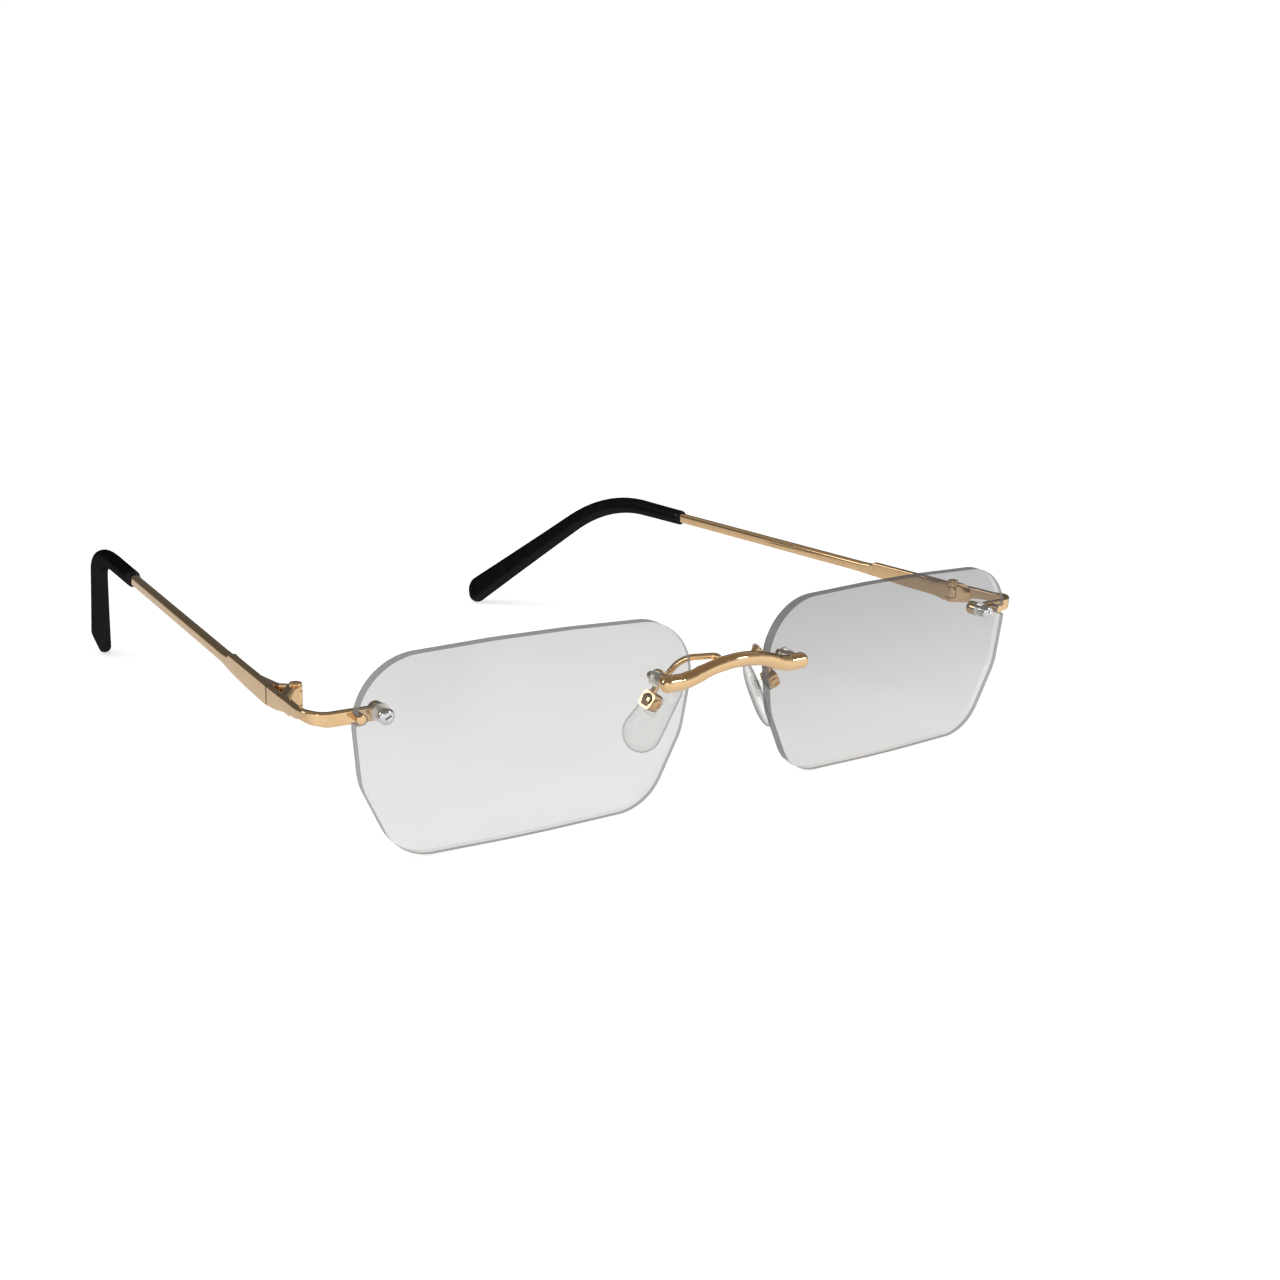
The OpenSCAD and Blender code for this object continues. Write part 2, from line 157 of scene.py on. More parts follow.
ARM_POINTS = [
    (3.2, -2.3, 8.2), (3.5, -2.0, 8.9), (4.2, -1.4, 9.0), (5.3, 0.1, 8.6), (6.1, 1.05, 8.35),
    (7.0, 1.75, 7.9), (7.9, 2.25, 7.2), (8.7, 2.6, 6.2), (9.5, 3.0, 5.1), (10.5, 3.4, 3.85),
    (11.3, 3.4, 2.7)]

# Camera
CAMERA_AT = (-0.1485, -0.27026, 0.07718)
CAMERA_AZIMUTH = math.radians(-34.54)
CAMERA_ELEVATION = math.radians(12.88)
CAMERA_ROLL = math.radians(-0.742)
FOCAL_LENGTH = 45.78
CAMERA_SHIFT = (0.00625, 0.0128)

# Studio: grey by height, from -1 straight down to 1 straight up
FRONT_GLOW = [(-1.0, 0.80), (-0.05, 0.97), (0.10, 1.05), (0.28, 0.70), (0.45, 0.32), (0.70, 0.20),
              (1.0, 0.20)]
BACK_GLOW = [(-1.0, 0.72), (-0.35, 0.68), (-0.10, 0.60), (-0.02, 0.35), (0.04, 0.12), (0.45, 0.10),
             (0.60, 0.32), (0.70, 0.32), (0.80, 0.20), (1.0, 0.20)]
WARM_OVERHEAD = (1.15, 1.0, 0.80)
SEEN_WHITE = (1.05, 1.05, 1.05)
FLOOR_HALF = 30.0
FLOOR_BASE = 0.8
FLOOR_GLOW = 0.62
LIT_SPOT = (0, -0.05, 0.01)
SUN_POWER = 0.95
SUN_SPREAD = math.radians(50)
SUN_WAY = (0.45, 0.35, -1.0)


# ---------------------------------------------------------------- axes

def turn(axis, angle):
    return Matrix.Rotation(angle, 4, axis)


def shift(x, y, z):
    return Matrix.Translation((x, y, z))


def stand_matrix():
    """From the lens axes in millimetres to the row's frame in metres, and X of the right lens.

    Both follow from the right-hand lens's foot and its axis.
    """
    mounts = {m["name"]: m for m in frame["record"]["mounts"]}
    foot = mounts["lens_foot_right"]
    lean = turn("X", math.atan2(foot["axis"][1], -foot["axis"][2]))
    lens_x = foot["pos_m"][0] / MM + LENS_T / 2 * math.sin(WRAP)
    low = Vector((lens_x, LENS_T / 2 * math.cos(WRAP), LENS_BOTTOM))
    rise = Vector(foot["pos_m"]) - lean @ low * MM
    return shift(0, rise.y, rise.z) @ lean @ Matrix.Scale(MM, 4), lens_x


def to_lens_axes(point):
    """A point of the row's frame, in the lens axes in millimetres."""
    return STAND.inverted() @ Vector(point)


STAND, LENS_X = stand_matrix()
JOINTS = {j["name"]: j for j in frame["joints"]}
HINGE = to_lens_axes(JOINTS["fold_right_temple"]["pos_m"])
BOX = to_lens_axes(JOINTS["rock_right_pad"]["pos_m"])
MIDDLE_AXES = Matrix.Identity(4)
LENS_AXES = shift(LENS_X, 0, 0) @ turn("Z", WRAP)
HINGE_AXES = Matrix.Translation(HINGE) @ turn("Z", TOE) @ turn("X", -DROP)
PAD_STANCE = Matrix.Translation(BOX) @ turn("Y", -PAD_LEAN) @ turn("X", PAD_TIP)
PAD_AXES = PAD_STANCE @ turn("Z", PAD_SPLAY)
BOX_AXES = PAD_STANCE @ turn("Z", BOX_SPLAY)
NASAL_U = NASAL_X - LENS_X
UPWARD = Vector((0, 0, 1))
ALONG_X = turn("Y", math.pi / 2)
ALONG_Y = turn("X", -math.pi / 2)
TOWARDS_FRONT = turn("X", math.pi / 2)


# ---------------------------------------------------------------- meshes

def mesh_of(points, faces):
    mesh = bpy.data.meshes.new("shape")
    mesh.from_pydata([tuple(p) for p in points], [], faces)
    mesh.validate()
    return mesh


def moved(mesh, matrix):
    mesh.transform(matrix)
    return mesh


def mirror(side):
    """Nothing on the right (1), and a mirror image in X on the left (-1)."""
    return Matrix.Diagonal((side, 1, 1, 1))


def joined(*meshes):
    """One mesh of several, each keeping its material numbers."""
    points, faces, slots = [], [], []
    for mesh in meshes:
        start = len(points)
        points += [v.co.copy() for v in mesh.vertices]
        faces += [[start + i for i in face.vertices] for face in mesh.polygons]
        slots += [face.material_index for face in mesh.polygons]
    whole = mesh_of(points, faces)
    whole.polygons.foreach_set("material_index", slots)
    return whole


def pair_of(mesh):
    """A right-hand mesh and its mirror image, as one mesh."""
    twin = moved(mesh.copy(), mirror(-1))
    twin.flip_normals()
    return joined(mesh, twin)


def bench(mesh, *steps, cutters=(), keep_within=None):
    """The mesh after modifiers: each step is (kind, settings); cutters are cut away first."""
    objects = [bpy.data.objects.new("bench", mesh)]
    if keep_within:
        cutters = [keep_within]
    for cutter in cutters:
        objects.append(bpy.data.objects.new("cutter", cutter))
    for obj in objects:
        bpy.context.scene.collection.objects.link(obj)
    for cutter in objects[1:]:
        cut = objects[0].modifiers.new("cut", "BOOLEAN")
        cut.operation = "INTERSECT" if keep_within else "DIFFERENCE"
        cut.object = cutter
    for kind, settings in steps:
        modifier = objects[0].modifiers.new(kind, kind)
        for name, value in settings.items():
            setattr(modifier, name, value)
    bpy.context.view_layer.update()
    done = objects[0].evaluated_get(bpy.context.evaluated_depsgraph_get())
    result = bpy.data.meshes.new_from_object(done)
    for obj in objects:
        bpy.data.objects.remove(obj)
    return result


def bevel(width, segments=3):
    """A step for bench() that rounds sharp edges."""
    settings = {"width": width, "segments": segments, "limit_method": "ANGLE",
                "angle_limit": math.radians(35), "harden_normals": False}
    return ("BEVEL", settings)


def facing_out(mesh):
    """The same mesh with its faces turned outwards, by the sign of its volume."""
    volume = 0
    for face in mesh.polygons:
        v = [mesh.vertices[i].co for i in face.vertices]
        volume += sum(v[0].dot(v[i].cross(v[i + 1])) for i in range(1, len(v) - 1))
    if volume < 0:
        mesh.flip_normals()
    return mesh


def slab(outline, holes, z0, z1):
    """A flat plate from z0 to z1 with holes; the outline and the holes are lists of (x, y)."""
    loops = [outline] + list(holes)
    flat = [p for loop in loops for p in loop]
    fill = tessellate_polygon([[Vector((x, y, 0)) for x, y in loop] for loop in loops])
    n = len(flat)
    points = [(x, y, z0) for x, y in flat] + [(x, y, z1) for x, y in flat]
    faces = []
    for tri in fill:
        a, b, c = (Vector(flat[i]) for i in tri)
        up = (b - a).cross(c - a) > 0
        tri = tuple(tri) if up else tuple(reversed(tri))
        faces.append([i + n for i in tri])
        faces.append(list(reversed(tri)))
    start = 0
    for number, loop in enumerate(loops):
        area = sum(p[0] * q[1] - q[0] * p[1] for p, q in zip(loop, loop[1:] + loop[:1]))
        outward = (area > 0) == (number == 0)
        for i in range(len(loop)):
            a, b = start + i, start + (i + 1) % len(loop)
            face = [a, b, b + n, a + n]
            faces.append(face if outward else face[::-1])
        start += len(loop)
    return mesh_of(points, faces)


def brick(size, centre=(0, 0, 0)):
    """A block of a size (x, y, z) about its centre."""
    x, y, z = (s / 2 for s in size)
    plate = slab([(-x, -y), (x, -y), (x, y), (-x, y)], [], -z, z)
    return moved(plate, shift(*centre))


def lathe(profile, steps=48):
    """A solid of revolution about Z; the profile is a list of (radius, height)."""
    points, rings, faces = [], [], []
    for r, z in profile:
        if r < 1e-6:
            rings.append([len(points)])
            points.append((0, 0, z))
            continue
        rings.append(list(range(len(points), len(points) + steps)))
        points += [(r * math.cos(math.tau * k / steps), r * math.sin(math.tau * k / steps), z)
                   for k in range(steps)]
    for low, high in zip(rings, rings[1:]):
        for k in range(steps):
            j = (k + 1) % steps
            face = [low[k % len(low)], low[j % len(low)], high[j % len(high)], high[k % len(high)]]
            face = list(dict.fromkeys(face))
            if len(face) > 2:
                faces.append(face)
    return facing_out(mesh_of(points, faces))


def rod(r, z0, z1, steps=32):
    """A plain round bar about Z, from z0 to z1."""
    return lathe([(0, z0), (r, z0), (r, z1), (0, z1)], steps)


def tube_profile(inner, outer, z0, z1, round_by):
    """Profile of a ring with rounded outer rims, closed on itself."""
    arc = [math.radians(a) for a in (0, 30, 60, 90)]
    low = [(outer - round_by + round_by * math.sin(a), z0 + round_by - round_by * math.cos(a))
           for a in arc]
    high = [(outer - round_by + round_by * math.cos(a), z1 - round_by + round_by * math.sin(a))
            for a in arc]
    return [(inner, z0)] + low + high + [(inner, z1), (inner, z0)]


def dome_profile(r, rise, z0, z1):
    """Profile of a button that stands from z0 to z1 and ends in a dome of height rise."""
    ease = 0.08
    arc = [math.radians(a) for a in range(0, 91, 10)]
    return ([(0, z0), (r - ease, z0), (r, z0 + ease)]
            + [(r * math.cos(a), z1 - rise + rise * math.sin(a)) for a in arc[:-1]] + [(0, z1)])


def dish_profile(r, depth, face):
    """Cutter for a shallow dish sunk in a face at the height `face`, from below."""
    curve = [(r * k / 8, face + depth * (1 - (k / 8) ** 2)) for k in range(8, -1, -1)]
    return [(0, face - 1), (r, face - 1)] + curve


def rounded_ring(half_w, half_h, r, per_corner=6):
    """Points of a rounded rectangle, anticlockwise from the middle of its right side."""
    r = min(r, half_w, half_h)
    ring = []
    for quarter, (sx, sy) in enumerate([(1, 1), (-1, 1), (-1, -1), (1, -1)]):
        for k in range(per_corner):
            a = math.pi / 2 * (quarter + k / (per_corner - 1))
            ring.append((sx * (half_w - r) + r * math.cos(a), sy * (half_h - r) + r * math.sin(a)))
    return ring


def circle(x, y, r, count=40):
    """Points of a circle, anticlockwise."""
    return [(x + r * math.cos(math.tau * k / count), y + r * math.sin(math.tau * k / count))
            for k in range(count)]


def hull_outline(circles, count):
    """Outline round circles (x, y, r): the furthest point in each of many directions."""
    outline = []
    for k in range(count):
        a = math.tau * k / count
        x, y, r = max(circles, key=lambda c: c[0] * math.cos(a) + c[1] * math.sin(a) + c[2])
        outline.append((x + r * math.cos(a), y + r * math.sin(a)))
    return outline


def sweep(stations):
    """A skin over stations (centre, across, upward, ring), closed flat at both ends."""
    points = [centre + across * x + upward * y
              for centre, across, upward, ring in stations for x, y in ring]
    n = len(stations[0][3])
    faces = [list(range(n))[::-1]]
    for s in range(len(stations) - 1):
        for k in range(n):
            a, b = s * n + k, s * n + (k + 1) % n
            faces.append([a, b, b + n, a + n])
    faces.append([(len(stations) - 1) * n + k for k in range(n)])
    return facing_out(mesh_of(points, faces))


def blended(keys, s):
    """Smooth value at s from a list of (s, value)."""
    if s <= keys[0][0]:
        return keys[0][1]
    for (s0, v0), (s1, v1) in zip(keys, keys[1:]):
        if s <= s1:
            t = (s - s0) / (s1 - s0)
            t = t * t * (3 - 2 * t)
            return v0 + (v1 - v0) * t
    return keys[-1][1]


def smooth_path(points, per_span=6):
    """A Catmull-Rom curve through the points."""
    pts = [Vector(p) for p in points]
    pts = [2 * pts[0] - pts[1]] + pts + [2 * pts[-1] - pts[-2]]
    path = []
    for a, b, c, d in zip(pts, pts[1:], pts[2:], pts[3:]):
        for k in range(per_span):
            t = k / per_span
            path.append(0.5 * (2 * b + (c - a) * t + (2 * a - 5 * b + 4 * c - d) * t * t
                               + (3 * b - a - 3 * c + d) * t ** 3))
    return path + [pts[-2]]


def round_wire(path, radius_at, steps=24):
    """A round bar along a path; radius_at takes the number of the point."""
    stations = []
    across = None
    for i, point in enumerate(path):
        ahead = path[min(i + 1, len(path) - 1)] - path[max(i - 1, 0)]
        ahead.normalize()
        guide = across or (UPWARD if abs(ahead.z) < 0.8 else Vector((1, 0, 0)))
        across = (guide - ahead * guide.dot(ahead)).normalized()
        upward = ahead.cross(across)
        stations.append((point, across, upward, circle(0, 0, radius_at(i), steps)))
    return sweep(stations)


def add_piece(name, mesh, axes, body, materials, nodes, side=1, sharp=38):
    """Puts a mesh into the row's frame as a piece on a body, in place of some CAD nodes."""
    mesh.transform(STAND @ mirror(side) @ axes)
    if side < 0:
        mesh.flip_normals()
    mesh.polygons.foreach_set("use_smooth", [True] * len(mesh.polygons))
    mesh.set_sharp_from_angle(angle=math.radians(sharp))
    for material in materials:
        mesh.materials.append(material)
    mesh.name = name
    piece = bpy.data.objects.new(name, mesh)
    bpy.context.scene.collection.objects.link(piece)
    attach(piece, body)
    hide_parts(*nodes)
    return piece


# ---------------------------------------------------------------- materials

def node_tree(name):
    material = bpy.data.materials.new(name)
    material.use_nodes = True
    nodes = material.node_tree.nodes
    nodes.clear()
    output = nodes.new("ShaderNodeOutputMaterial")
    return material, nodes, material.node_tree.links, output


def noise(nodes, links, scale, detail, stretch=(1, 1, 1)):
    """Noise over the object's own coordinates; scale is per metre."""
    where = nodes.new("ShaderNodeTexCoord")
    mapping = nodes.new("ShaderNodeMapping")
    mapping.inputs["Scale"].default_value = stretch
    texture = nodes.new("ShaderNodeTexNoise")
    texture.inputs["Scale"].default_value = scale
    texture.inputs["Detail"].default_value = detail
    links.new(where.outputs["Object"], mapping.inputs["Vector"])
    links.new(mapping.outputs["Vector"], texture.inputs["Vector"])
    return texture.outputs["Fac"]


def spread(nodes, links, fac, low, high, start=0.3, end=0.7):
    """A range, by default the middle of a noise, stretched to run from low to high."""
    ramp = nodes.new("ShaderNodeMapRange")
    ramp.inputs["From Min"].default_value = start
    ramp.inputs["From Max"].default_value = end
    ramp.inputs["To Min"].default_value = low
    ramp.inputs["To Max"].default_value = high
    links.new(fac, ramp.inputs["Value"])
    return ramp.outputs["Result"]


def two_tone(nodes, links, fac, dark, light):
    """The middle of a noise as a blend from a dark colour to a light one."""
    ramp = nodes.new("ShaderNodeValToRGB")
    ramp.color_ramp.elements[0].position = 0.35
    ramp.color_ramp.elements[0].color = (*dark, 1)
    ramp.color_ramp.elements[1].position = 0.65
    ramp.color_ramp.elements[1].color = (*light, 1)
    links.new(fac, ramp.inputs["Fac"])
    return ramp.outputs["Color"]


def colour_mix(nodes, links, fac, low, high, blend="MIX"):
    """Two colours mixed by fac; each is a socket or three numbers."""
    mix = nodes.new("ShaderNodeMix")
    mix.data_type = "RGBA"
    mix.blend_type = blend
    links.new(fac, mix.inputs["Factor"])
    for name, colour in (("A", low), ("B", high)):
        if isinstance(colour, tuple):
            mix.inputs[name].default_value = (*colour, 1)
        else:
            links.new(colour, mix.inputs[name])
    return mix.outputs["Result"]


def bumped(nodes, links, fac, strength, depth):
    bump = nodes.new("ShaderNodeBump")
    bump.inputs["Strength"].default_value = strength
    bump.inputs["Distance"].default_value = depth
    links.new(fac, bump.inputs["Height"])
    return bump.outputs["Normal"]


def facing_share(nodes, blend):
    """0 where a face is seen square on, rising to 1 where it is seen edge on."""
    facing = nodes.new("ShaderNodeLayerWeight")
    facing.inputs["Blend"].default_value = blend
    return facing.outputs["Facing"]


def layered(nodes, links, share, base, top, output):
    """Shows a base shader with a share of another on top; share is a socket or a number."""
    both = nodes.new("ShaderNodeMixShader")
    if isinstance(share, float):
        both.inputs["Fac"].default_value = share
    else:
        links.new(share, both.inputs["Fac"])
    links.new(base.outputs["BSDF"], both.inputs[1])
    links.new(top.outputs["BSDF"], both.inputs[2])
    links.new(both.outputs["Shader"], output.inputs["Surface"])


def metal(name, dark, light, rough_low, rough_high):
    """Polished metal: slow colour drift, fine hairlines in the roughness and a trace of bump."""
    material, nodes, links, output = node_tree(name)
    shader = nodes.new("ShaderNodeBsdfPrincipled")
    shader.inputs["Metallic"].default_value = 1.0
    drift = noise(nodes, links, 350, 3)
    hairs = noise(nodes, links, 1400, 5, (1.0, 0.12, 1.6))
    links.new(two_tone(nodes, links, drift, dark, light), shader.inputs["Base Color"])
    links.new(spread(nodes, links, hairs, rough_low, rough_high), shader.inputs["Roughness"])
    links.new(bumped(nodes, links, hairs, 0.05, 0.00002), shader.inputs["Normal"])
    links.new(shader.outputs["BSDF"], output.inputs["Surface"])
    return material


def sheet_gloss(nodes, links):
    """Share of light that either face of a clear sheet reflects: 4 percent, more when grazing."""
    power = nodes.new("ShaderNodeMath")
    power.operation = "POWER"
    power.inputs[1].default_value = 5.0
    total = nodes.new("ShaderNodeMath")
    total.operation = "MULTIPLY_ADD"
    total.inputs[1].default_value = 0.96
    total.inputs[2].default_value = 0.04
    links.new(facing_share(nodes, 0.5), power.inputs[0])
    links.new(power.outputs["Value"], total.inputs[0])
    return total.outputs["Value"]


def clear_sheet(name, tint, gloss_roughness, edge_on_shade=None, low_tint=None):
    """Clear or tinted sheet: light passes straight through, with gloss by Fresnel on top.

    With a low_tint, the tint fades to it from the top of the piece down. Where the surface is seen edge on, the
    tint turns darker to the given edge colour: painted shade for the dark outline of a clear piece.
    """
    material, nodes, links, output = node_tree(name)
    through = nodes.new("ShaderNodeBsdfTransparent")
    cloud = noise(nodes, links, 60, 2)
    light = tuple(min(1, c * 1.012) for c in tint)
    dark = tuple(c * 0.988 for c in tint)
    colour = two_tone(nodes, links, cloud, dark, light)
    if low_tint:
        where = nodes.new("ShaderNodeTexCoord")
        split = nodes.new("ShaderNodeSeparateXYZ")
        links.new(where.outputs["Generated"], split.inputs["Vector"])
        colour = colour_mix(nodes, links, split.outputs["Z"], low_tint, colour)
    if edge_on_shade:
        colour = colour_mix(nodes, links, facing_share(nodes, 0.35), colour, edge_on_shade)
    links.new(colour, through.inputs["Color"])
    gloss = nodes.new("ShaderNodeBsdfGlossy")
    gloss.inputs["Roughness"].default_value = gloss_roughness
    layered(nodes, links, sheet_gloss(nodes, links), through, gloss, output)
    return material


def frosted_and_shaded_edge(name, colour, clear_share):
    """Edge of a lens: grey and matt like a ground edge, with painted shade in the grey, and some light coming
    through.
    """
    material, nodes, links, output = node_tree(name)
    shader = nodes.new("ShaderNodeBsdfPrincipled")
    grind = noise(nodes, links, 2500, 6, (1, 1, 0.3))
    dark = tuple(c * 0.88 for c in colour)
    links.new(two_tone(nodes, links, grind, dark, colour), shader.inputs["Base Color"])
    links.new(spread(nodes, links, grind, 0.3, 0.5), shader.inputs["Roughness"])
    links.new(bumped(nodes, links, grind, 0.15, 0.00003), shader.inputs["Normal"])
    shader.inputs["Alpha"].default_value = 1 - clear_share
    links.new(shader.outputs["BSDF"], output.inputs["Surface"])
    return material


def black_acetate():
    """Black plastic with a low, even sheen."""
    material, nodes, links, output = node_tree("black_acetate")
    matt = nodes.new("ShaderNodeBsdfDiffuse")
    sheen = nodes.new("ShaderNodeBsdfGlossy")
    cloud = noise(nodes, links, 500, 4)
    grain = noise(nodes, links, 3000, 6)
    colour = two_tone(nodes, links, cloud, (0.0015, 0.0015, 0.0017), (0.004, 0.004, 0.0044))
    links.new(colour, matt.inputs["Color"])
    links.new(spread(nodes, links, grain, 0.20, 0.30), sheen.inputs["Roughness"])
    normal = bumped(nodes, links, grain, 0.08, 0.00003)
    links.new(normal, matt.inputs["Normal"])
    links.new(normal, sheen.inputs["Normal"])
    layered(nodes, links, 0.018, matt, sheen, output)
    return material


GOLD = metal("gold_plate", (0.85, 0.57, 0.305), (0.91, 0.625, 0.345), 0.04, 0.12)
# A darker copy of the gold, for the peg shaft down in the lens notch: painted shade.
SHADED_GOLD = metal("gold_plate_painted_shade", (0.50, 0.34, 0.19), (0.62, 0.43, 0.25), 0.10, 0.2)
STEEL = metal("bright_steel", (0.62, 0.62, 0.64), (0.74, 0.74, 0.76), 0.05, 0.12)
# Both lenses are the same smoke glass; the right one is tinted deeper by painted shade.
LENS_LEFT = clear_sheet("smoke_lens_left", (0.785, 0.792, 0.792), 0.01,
                        low_tint=(0.88, 0.883, 0.884))
LENS_RIGHT_SHADED = clear_sheet("smoke_lens_right_painted_shade", (0.665, 0.666, 0.672), 0.01,
                         low_tint=(0.845, 0.847, 0.85))
# Rim materials. The grey of the faces that look left and up (darker on the right lens), the dark chamfers and the
# grey line along the front of the other faces are painted shade. The clear rest of those faces is painted light.
SHADED_EDGE_LEFT = frosted_and_shaded_edge("lens_edge_left_painted_shade", (0.24, 0.245, 0.25), 0.18)
SHADED_EDGE_RIGHT = frosted_and_shaded_edge("lens_edge_right_painted_shade", (0.135, 0.135, 0.14), 0.15)
RIM_SHADE_LINE = frosted_and_shaded_edge("lens_rim_painted_shade_line", (0.34, 0.345, 0.35), 0.3)
CLEAR_EDGE = clear_sheet("lens_clear_edge", (0.86, 0.86, 0.86), 0.2)
CHAMFER_SHADE = frosted_and_shaded_edge("lens_chamfer_painted_shade", (0.13, 0.135, 0.14), 0.1)
# Nylon and silicone turn grey where seen edge on: painted shade.
NYLON = clear_sheet("clear_nylon", (0.975, 0.975, 0.97), 0.1, edge_on_shade=(0.72, 0.72, 0.72))
SLEEVE = metal("clear_nylon_sleeve", (0.80, 0.78, 0.73), (0.90, 0.88, 0.83), 0.16, 0.26)
SILICONE = clear_sheet("clear_silicone", (0.99, 0.99, 0.985), 0.08, edge_on_shade=(0.30, 0.31, 0.31))
BLACK = black_acetate()


# ---------------------------------------------------------------- lenses

def lens_outline():
    """Outline of the right lens in U and V, with the notch for the peg in its outer side."""
    half = LENS_W / 2
    corners = []  # Circles (u, v, radius) that the outline runs round
    for s in (-1, 1):
        corners += [
            (s * (half - 9.45) - 0.15, LENS_TOP - 9.65, 9.3),
            (s * (half - 10.0), 0.4, 9.1),
            (s * (half - 11.9), LENS_BOTTOM + 8.45, 8.2),
            (s * 6, LENS_TOP - 3, 3.0),
            (s * 3, LENS_BOTTOM + 3, 3.0)]
    ring = hull_outline(corners, 360)
    outer = [(u, v) for u, v in ring if not (u > 0 and abs(v - TEMPORAL_V) < NOTCH_R)]
    cut = next(i for i, (u, v) in enumerate(outer) if u > 0 and v > TEMPORAL_V)
    mouth = max(u for u, v in ring) - 0.02
    notch = [(PEG_U - NOTCH_R * math.cos(a), TEMPORAL_V + NOTCH_R * math.sin(a))
             for a in [math.radians(d) for d in range(-90, 91, 15)]]
    notch = [(mouth, TEMPORAL_V - NOTCH_R)] + notch + [(mouth, TEMPORAL_V + NOTCH_R)]
    return outer[:cut] + notch + outer[cut:]


def split_flat(mesh, z):
    """Cuts every face that crosses the height z in two."""
    work = bmesh.new()
    work.from_mesh(mesh)
    everything = work.verts[:] + work.edges[:] + work.faces[:]
    bmesh.ops.bisect_plane(work, geom=everything, plane_co=(0, 0, z), plane_no=(0, 0, 1))
    work.to_mesh(mesh)
    work.free()


def make_lens(side_name, side):
    """A lens, drawn face up; its rim gets painted light and shade by the way each face looks."""
    holes = [circle(TEMPORAL_U, TEMPORAL_V, HOLE_R), circle(NASAL_U, NASAL_V, HOLE_R)]
    plate = bench(slab(lens_outline(), holes, -LENS_T, 0), bevel(0.15, 1))
    split_flat(plate, -RIM_LINE_W)
    pane, shaded_rim, clear, chamfer, line = range(5)
    # Painted shade and light by facing. Faces looking left or up get the shaded grey. Faces looking right or down
    # get the clear edge, with a grey shade line along the front. The chamfers are dark: painted shade.
    for face in plate.polygons:
        across = face.normal.x * side
        if abs(face.normal.z) > 0.99:
            face.material_index = pane
        elif abs(face.normal.z) > 0.1:
            face.material_index = chamfer
        elif across > 0.25 or face.normal.y < -0.7:
            face.material_index = line if face.center.z > -RIM_LINE_W else clear
        else:
            face.material_index = shaded_rim
    name = "lens_" + side_name
    tint, edge = (LENS_LEFT, SHADED_EDGE_LEFT) if side < 0 else (LENS_RIGHT_SHADED, SHADED_EDGE_RIGHT)
    piece = add_piece("visual_" + name, plate, LENS_AXES @ TOWARDS_FRONT, "front",
                      [tint, edge, CLEAR_EDGE, CHAMFER_SHADE, RIM_SHADE_LINE], [name], side, sharp=30)
    for face in piece.data.polygons:
        face.use_smooth = face.material_index != pane
    # Left out of reflections and bounced light, so that gold seen through it stays bright
    piece.visible_glossy = False
    piece.visible_diffuse = False


# ---------------------------------------------------------------- bridge, nuts and screws

def bridge_path():
    """Centre line from one cap to the other: level caps and a slanted arch between."""
    rise = math.hypot(ARCH_RISE, ARCH_PUSH)
    up = Vector((0, -ARCH_PUSH / rise, ARCH_RISE / rise))
    r = (CAP_IN ** 2 + rise ** 2) / (2 * rise)
    foot = Vector((0, CAP_Y, NASAL_V))
    arch = []
    for k in range(-7, 8):
        x = ARCH_HALF * k / 7
        arch.append(foot + Vector((x, 0, 0)) + up * (math.sqrt(r * r - x * x) - (r - rise)))
    left = [foot + Vector((-x, 0, 0)) + up * 0.02 for x in (CAP_END, 11.2, 10.0)]
    right = [Vector((-p.x, p.y, p.z)) for p in reversed(left)]
    return smooth_path(left + arch + right, 5)


def bridge_radius(x):
    """Thick caps, a slim neck where each meets the arch, and ridges that catch the light."""
    x = abs(x)
    ridge = sum(rise * math.exp(-((x - spot) / RIDGE_W) ** 2) for spot, rise in RIDGES)
    swell = [(0, ARCH_R), (5.6, ARCH_R * 0.98), (7.6, ARCH_R + 0.04), (9.2, CAP_R - 0.03),
             (12, CAP_R)]
    return blended(swell, x) + ridge - 0.05


def make_bridge():
    path = bridge_path()
    points, radii = [], []

    def station(point, ahead, r):
        points.append(Vector((point.x + ahead, point.y, point.z)))
        radii.append(r)

    for a in range(80, 0, -10):
        station(path[0], -CAP_R * math.sin(math.radians(a)), CAP_R * math.cos(math.radians(a)))
    for point in path:
        station(point, 0, bridge_radius(point.x))
    for a in range(10, 81, 10):
        station(path[-1], CAP_R * math.sin(math.radians(a)), CAP_R * math.cos(math.radians(a)))
    parts = [round_wire(points, lambda i: radii[i], 40)]
    for side in SIDES.values():
        stud = rod(STUD_R, 0, STUD_LEN)
        parts.append(moved(stud, shift(side * NASAL_X, CAP_Y, NASAL_V) @ ALONG_Y))
    add_piece("visual_bridge", joined(*parts), MIDDLE_AXES, "front",
              [GOLD], ["bridge"])


def make_nuts():
    """Domed nuts on the bridge studs, behind the lenses."""
    nut = lathe(dome_profile(NUT_R, 0.55, LENS_BACK, NUT_END))
    nut = moved(nut, LENS_AXES @ shift(NASAL_U, 0, NASAL_V) @ ALONG_Y)
    add_piece("visual_cap_nuts", pair_of(nut), MIDDLE_AXES, "front",
              [STEEL], ["cap_nuts"])


